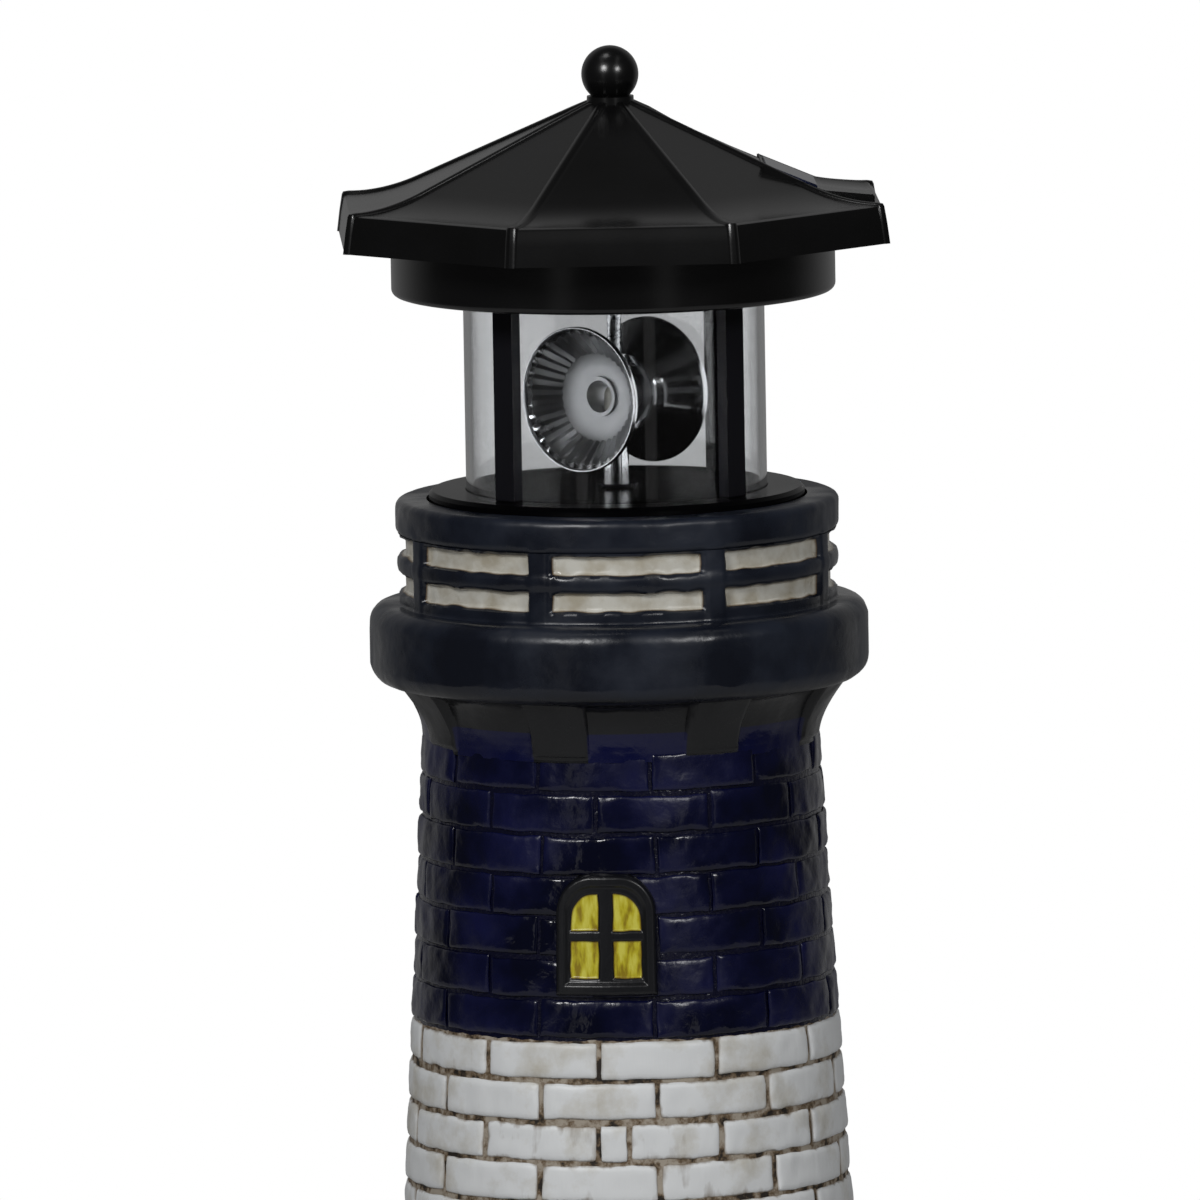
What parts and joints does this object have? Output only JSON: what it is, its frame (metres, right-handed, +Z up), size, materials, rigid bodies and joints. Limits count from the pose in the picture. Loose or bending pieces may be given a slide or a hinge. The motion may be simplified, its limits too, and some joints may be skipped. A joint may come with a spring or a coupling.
{
  "type": "garden lighthouse ornament",
  "caption": "Solar garden lighthouse: brick tower with balcony and arched window, and a lift-off lantern whose chrome bells turn in a clear tube.",
  "frame": {"origin": "centre of the tower's foot, on the ground", "axes": "+Z up through the finial, -Y towards the front, the side the picture shows"},
  "size_m": [0.124, 0.124, 0.355],
  "materials": {
    "painted_resin": "satin",
    "black_plastic": "satin",
    "solar_glass": "gloss",
    "clear_plastic": "gloss",
    "gasket_rubber": "matte",
    "chromed_plastic": "polished",
    "steel": "satin",
    "grey_plastic": "satin",
    "gear_plastic": "satin",
    "lamp_epoxy": "gloss",
    "battery_sleeve": "gloss",
    "board_laminate": "satin"
  },
  "bodies": {
    "tower": {"tower_casting": "painted_resin"},
    "lantern": {"lantern_frame": "black_plastic", "base_cup": "black_plastic", "canopy_drum": "black_plastic", "roof_shell": "black_plastic", "finial_ball": "black_plastic", "solar_tray": "black_plastic", "solar_cell": "solar_glass", "clear_tube": "clear_plastic", "tube_gasket": "gasket_rubber", "cup_screws": "steel", "bracket_screws": "steel", "roof_screws": "steel", "board_screws": "steel", "contact_leaf": "steel", "contact_plate": "steel", "gear_motor": "steel", "motor_bracket": "grey_plastic", "switch_body": "grey_plastic", "thrust_washer": "gear_plastic", "lamp_stalk": "grey_plastic", "lamp_led": "lamp_epoxy", "battery_cell": "battery_sleeve", "circuit_board": "board_laminate"},
    "beacon": {"drive_sleeve": "chromed_plastic", "drive_gear": "gear_plastic", "beacon_hub": "chromed_plastic", "reflector_front": "chromed_plastic", "reflector_rear": "chromed_plastic", "top_pin": "steel"},
    "pinion": {"motor_pinion": "gear_plastic", "motor_shaft": "steel"},
    "switch": {"switch_knob": "grey_plastic"},
    "door": {"battery_door": "black_plastic"}
  },
  "joints": [
    {"name": "lantern_lift", "type": "slide", "parent": "tower", "child": "lantern", "axis": [0, 0, 1], "range_m": [0, 0.045]},
    {"name": "beacon_spin", "type": "hinge", "parent": "lantern", "child": "beacon", "pos_m": [0, 0, 0.2815], "axis": [0, 0, 1], "continuous": true},
    {"name": "pinion_spin", "type": "hinge", "parent": "lantern", "child": "pinion", "pos_m": [0.0125, 0, 0.2546], "axis": [0, 0, 1], "continuous": true},
    {"name": "switch_slide", "type": "slide", "parent": "lantern", "child": "switch", "axis": [1, 0, 0], "range_m": [0, 0.0025]},
    {"name": "door_swing", "type": "hinge", "parent": "lantern", "child": "door", "pos_m": [-0.0181, 0, 0.2291], "axis": [0, 1, 0], "range_deg": [0, 75]}
  ],
  "couplings": [
    {"joint": "pinion_spin", "follows": "beacon_spin", "ratio": -4}
  ]
}
